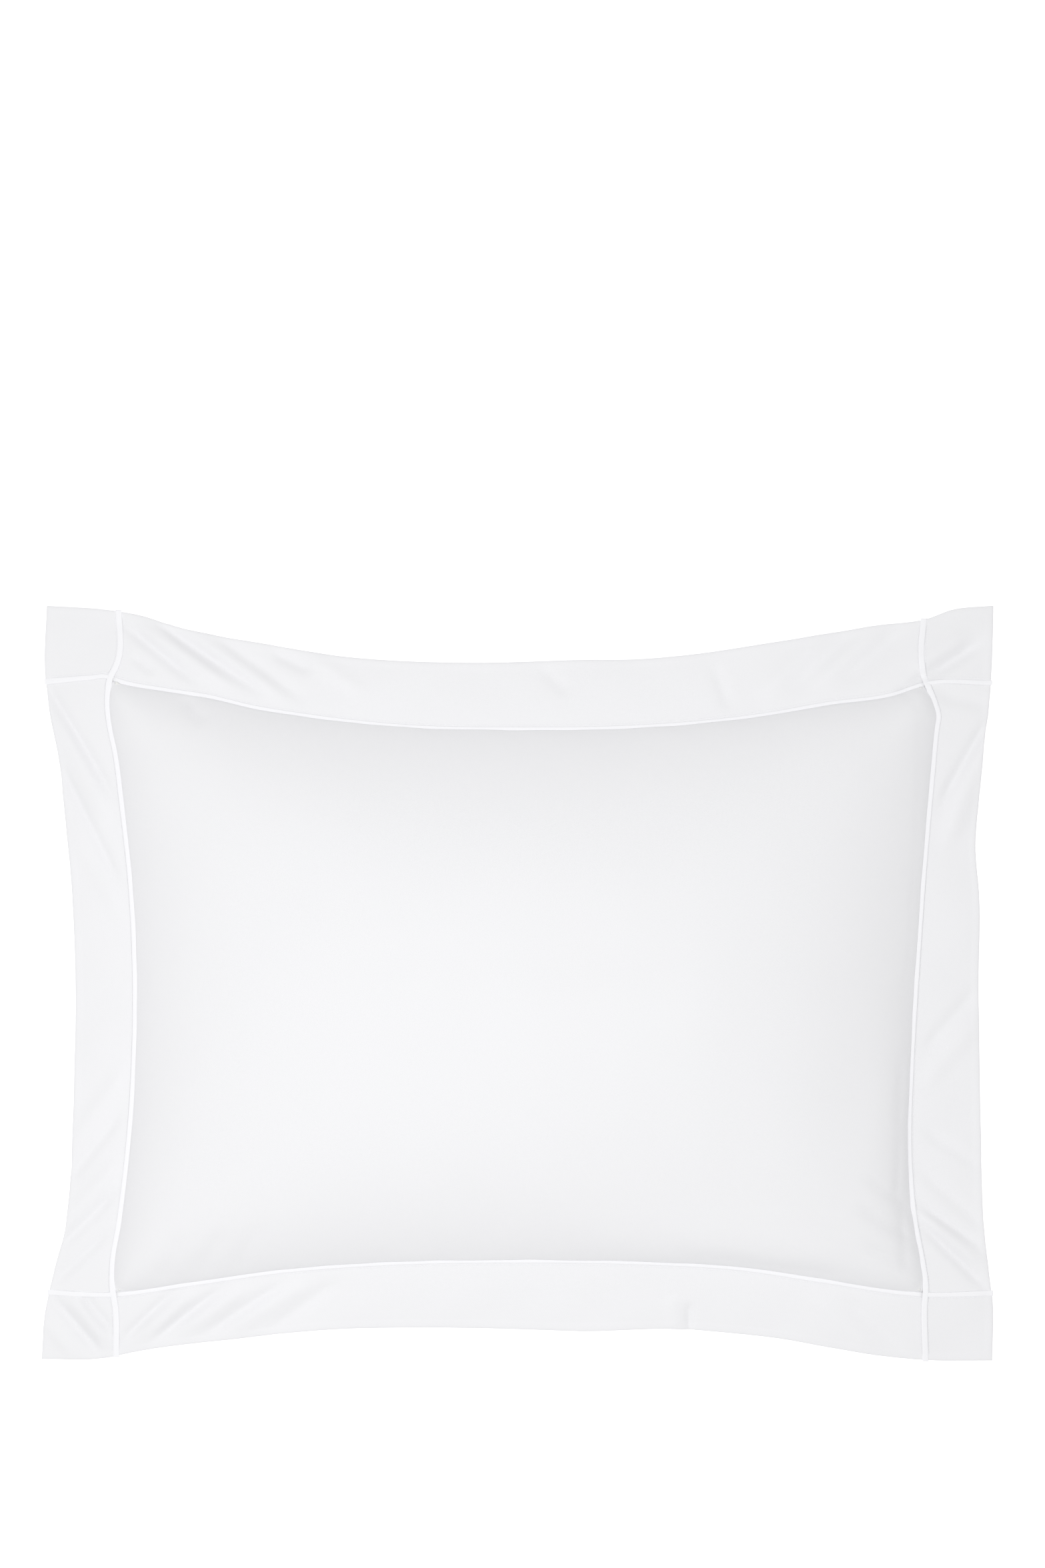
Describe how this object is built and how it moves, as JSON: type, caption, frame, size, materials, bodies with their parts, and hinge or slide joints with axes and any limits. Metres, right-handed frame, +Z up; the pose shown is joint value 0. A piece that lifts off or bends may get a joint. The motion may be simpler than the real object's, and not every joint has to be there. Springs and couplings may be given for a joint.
{
  "type": "bed pillow",
  "caption": "Plump bed pillow in a white cotton sham with a flat double border, flat piping over the border seams and a zip across the back.",
  "frame": {"origin": "centre of the base of the pillow's box, with the pillow lying on its back panel", "axes": "+X along the long side, +Y towards the sham's top edge, +Z up out of the face"},
  "size_m": [0.7196, 0.5686, 0.169],
  "materials": {
    "sham_cotton": "white cotton percale, matt",
    "piping_cotton": "white folded cotton, slightly brighter",
    "ticking_cotton": "close-woven off-white cotton ticking",
    "fibre_fill": "white polyester fibre filling",
    "label_satin": "blank white woven satin",
    "zip_tape": "white woven polyester tape",
    "zip_nylon": "white nylon coil",
    "zip_metal": "white lacquered zinc"
  },
  "bodies": {
    "pillow": {"front_panel": "sham_cotton", "border_top": "sham_cotton", "border_bottom": "sham_cotton", "border_left": "sham_cotton", "border_right": "sham_cotton", "corner_top_left": "sham_cotton", "corner_top_right": "sham_cotton", "corner_bottom_left": "sham_cotton", "corner_bottom_right": "sham_cotton", "back_panel_upper": "sham_cotton", "back_panel_lower": "sham_cotton", "piping_left": "piping_cotton", "piping_right": "piping_cotton", "piping_top_left": "piping_cotton", "piping_top_middle": "piping_cotton", "piping_top_right": "piping_cotton", "piping_bottom_left": "piping_cotton", "piping_bottom_middle": "piping_cotton", "piping_bottom_right": "piping_cotton", "ticking_front": "ticking_cotton", "ticking_back": "ticking_cotton", "fill": "fibre_fill", "care_label": "label_satin", "zip_tape_upper": "zip_tape", "zip_tape_lower": "zip_tape", "zip_coil_upper": "zip_nylon", "zip_coil_lower": "zip_nylon", "zip_top_stop_upper": "zip_metal", "zip_top_stop_lower": "zip_metal", "zip_bottom_stop": "zip_metal"},
    "zip_slider": {"zip_slider": "zip_metal"},
    "zip_pull": {"zip_pull": "zip_metal"}
  },
  "joints": [
    {"name": "zip_slide", "type": "slide", "parent": "pillow", "child": "zip_slider", "axis": [-1, 0, 0], "range_m": [0, 0.38]},
    {"name": "pull_swing", "type": "hinge", "parent": "zip_slider", "child": "zip_pull", "pos_m": [0.19, -0.14, 0.00675], "axis": [0, -1, 0], "range_deg": [0, 180]}
  ]
}
